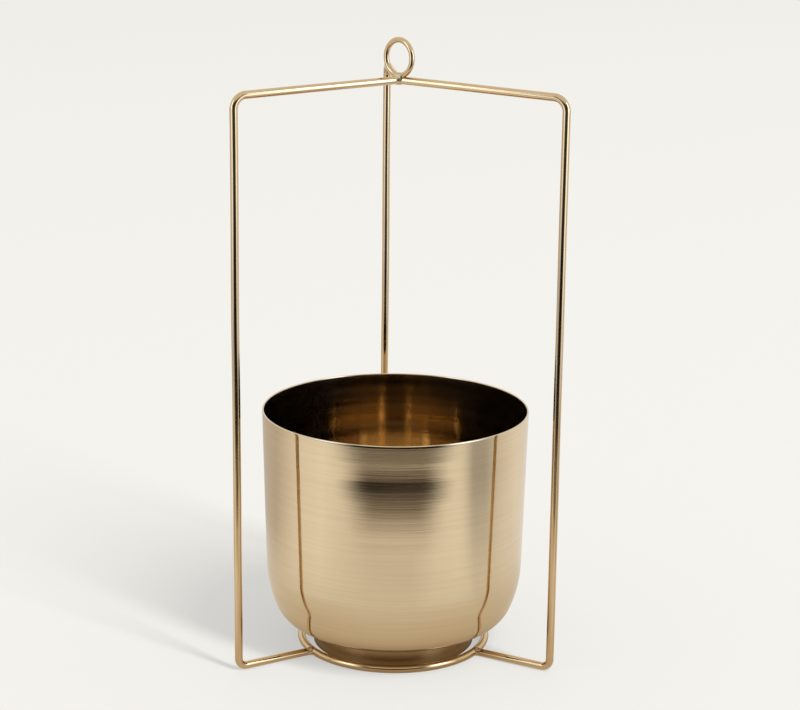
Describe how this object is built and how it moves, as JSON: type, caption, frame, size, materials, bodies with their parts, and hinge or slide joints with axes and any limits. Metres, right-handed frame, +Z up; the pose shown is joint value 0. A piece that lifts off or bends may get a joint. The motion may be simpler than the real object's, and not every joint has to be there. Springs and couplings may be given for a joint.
{
  "type": "planter pot in wire stand",
  "caption": "Round satin brass cachepot on a recessed foot, standing loose in an upright bent-wire cage frame with a base hoop and a hanging eye on top.",
  "frame": {"origin": "on the floor, at the centre of the pot's foot, which is also the axis of the frame", "axes": "+Z up towards the hanging eye, -Y the front, out between the two front uprights, +X to the right as seen from the front"},
  "size_m": [0.2042, 0.2038, 0.3981],
  "materials": {
    "pot_metal": "satin, finely brushed round the pot",
    "foot_metal": "satin, brushed round the foot",
    "frame_wire": "polished and lacquered wire",
    "weld_metal": "plated weld bead, slightly rippled"
  },
  "bodies": {
    "frame": {"leg_left": "frame_wire", "leg_right": "frame_wire", "leg_rear": "frame_wire", "base_ring": "frame_wire", "hanging_eye": "frame_wire", "crown_weld": "weld_metal", "ring_welds": "weld_metal"},
    "pot": {"pot": "pot_metal", "foot_ring": "foot_metal"}
  },
  "joints": [
    {"name": "pot_out", "type": "slide", "parent": "frame", "child": "pot", "axis": [0, -0.7071, 0.7071], "range_m": [0, 0.24]}
  ]
}
